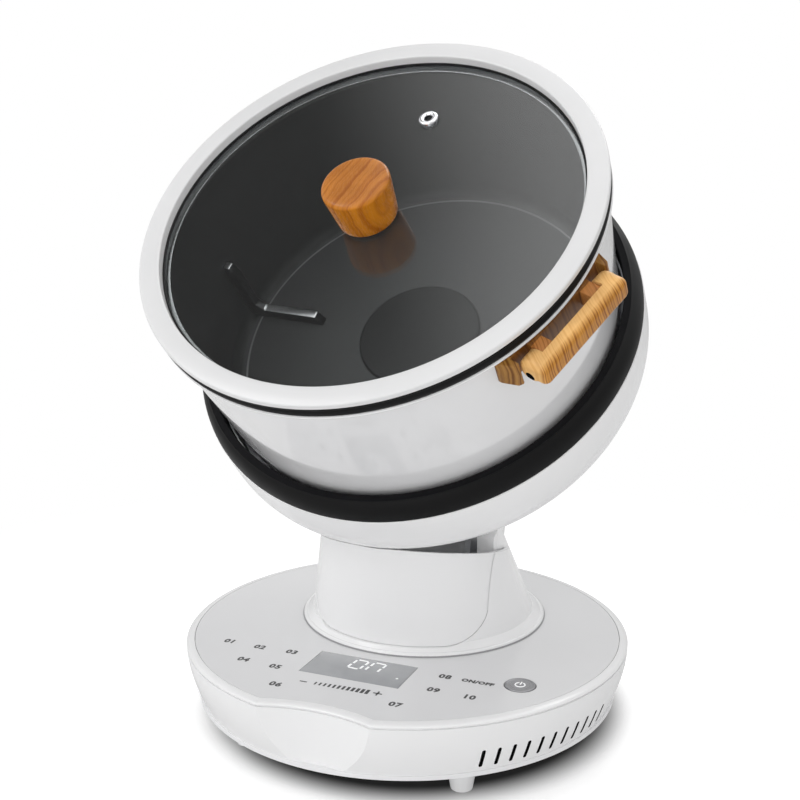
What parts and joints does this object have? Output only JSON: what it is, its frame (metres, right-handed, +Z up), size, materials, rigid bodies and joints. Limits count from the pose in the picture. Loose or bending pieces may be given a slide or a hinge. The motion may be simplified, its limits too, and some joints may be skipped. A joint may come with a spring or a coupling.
{
  "type": "automatic stir fry cooker",
  "caption": "Tilted rotating stir fry pot with a glass lid, wooden knob and side handles, set in a bowl on a tilting pedestal over a round base with a control panel.",
  "frame": {"origin": "on the table, in the middle of the plane through the four feet, under the round base's centre", "axes": "+Z up; -Y towards the user, over the control panel's scalloped front; +X to the user's right"},
  "size_m": [0.3352, 0.3301, 0.4629],
  "materials": {
    "aluminium": "satin",
    "black_plastic": "semi-gloss",
    "bracket_wood": "satin",
    "brass": "satin",
    "ceramic": "matte",
    "chrome": "polished",
    "dark_board": "matte",
    "display_glass": "glossy",
    "enamel": "glossy enamel",
    "glass": "clear",
    "handle_wood": "satin",
    "knob_wood": "satin",
    "nonstick": "satin",
    "pearl_plastic": "satin pearl",
    "rubber": "matte",
    "seal": "satin",
    "steel": "brushed",
    "white_plastic": "glossy"
  },
  "bodies": {
    "base": {"base_pan": "white_plastic", "base_shell": "white_plastic", "top_panel": "white_plastic", "display_window": "display_glass", "display_module": "black_plastic", "control_board": "dark_board", "touch_pads": "black_plastic", "power_switch": "black_plastic", "power_board": "dark_board", "fan_housing": "black_plastic", "power_inlet": "black_plastic", "inlet_pins": "brass", "foot_front_left": "rubber", "foot_front_right": "rubber", "foot_rear_left": "rubber", "foot_rear_right": "rubber", "case_screws": "steel", "pedestal_body": "white_plastic", "pedestal_front_cover": "white_plastic", "tilt_bracket": "steel", "bracket_bolts": "steel", "tilt_bushes": "brass", "friction_washers": "brass"},
    "head": {"head_shell": "white_plastic", "head_knuckle": "aluminium", "knuckle_bolts": "steel", "head_bezel": "black_plastic", "heat_well": "steel", "heater_plate": "aluminium", "heating_element": "steel", "heater_posts": "ceramic", "temperature_sensor": "aluminium", "motor_bracket": "steel", "bracket_screws": "steel", "bearing_housing": "aluminium", "shaft_bearings": "chrome", "gearmotor": "steel", "tilt_shaft": "steel", "shaft_clips": "steel"},
    "spindle": {"drive_shaft": "steel", "drive_hub": "aluminium"},
    "pot": {"pot_shell": "enamel", "pot_liner": "nonstick", "pot_coupling": "steel", "drive_cap": "nonstick", "stir_fins": "nonstick", "handle_bracket_right": "bracket_wood", "handle_bracket_left": "bracket_wood", "handle_pins": "steel"},
    "right_grip": {"handle_grip_right": "handle_wood"},
    "left_grip": {"handle_grip_left": "handle_wood"},
    "lid": {"lid_rim": "pearl_plastic", "lid_seal": "seal", "lid_band": "steel", "lid_glass": "glass", "vent_eyelet": "chrome", "knob": "knob_wood", "knob_screw": "steel"},
    "button": {"power_button": "aluminium"},
    "fan": {"fan_impeller": "black_plastic"}
  },
  "joints": [
    {"name": "head_tilt", "type": "hinge", "parent": "base", "child": "head", "pos_m": [0, 0.05, 0.158], "axis": [1, 0, 0], "range_deg": [-45, 0]},
    {"name": "pot_spin", "type": "hinge", "parent": "head", "child": "spindle", "pos_m": [0, 0.02988, 0.25788], "axis": [0, -0.7071, 0.7071], "continuous": true},
    {"name": "pot_lift", "type": "slide", "parent": "spindle", "child": "pot", "axis": [0, -0.7071, 0.7071], "range_m": [0, 0.15]},
    {"name": "lid_lift", "type": "slide", "parent": "pot", "child": "lid", "axis": [0, -0.7071, 0.7071], "range_m": [0, 0.15]},
    {"name": "handle_right_fold", "type": "hinge", "parent": "pot", "child": "right_grip", "pos_m": [0.14021, -0.10099, 0.29204], "axis": [0.4384, 0.6355, 0.6355], "range_deg": [0, 85]},
    {"name": "handle_left_raise", "type": "hinge", "parent": "pot", "child": "left_grip", "pos_m": [-0.14021, -0.00428, 0.38875], "axis": [0.4384, 0.6355, 0.6355], "range_deg": [0, 85]},
    {"name": "power_press", "type": "slide", "parent": "base", "child": "button", "axis": [0, 0, -1], "range_m": [0, 0.0008], "stiffness_N_per_m": 800, "springref_m": -0.0006},
    {"name": "fan_spin", "type": "hinge", "parent": "base", "child": "fan", "pos_m": [0.098, -0.03, 0.03], "axis": [0, 0, 1], "continuous": true}
  ]
}
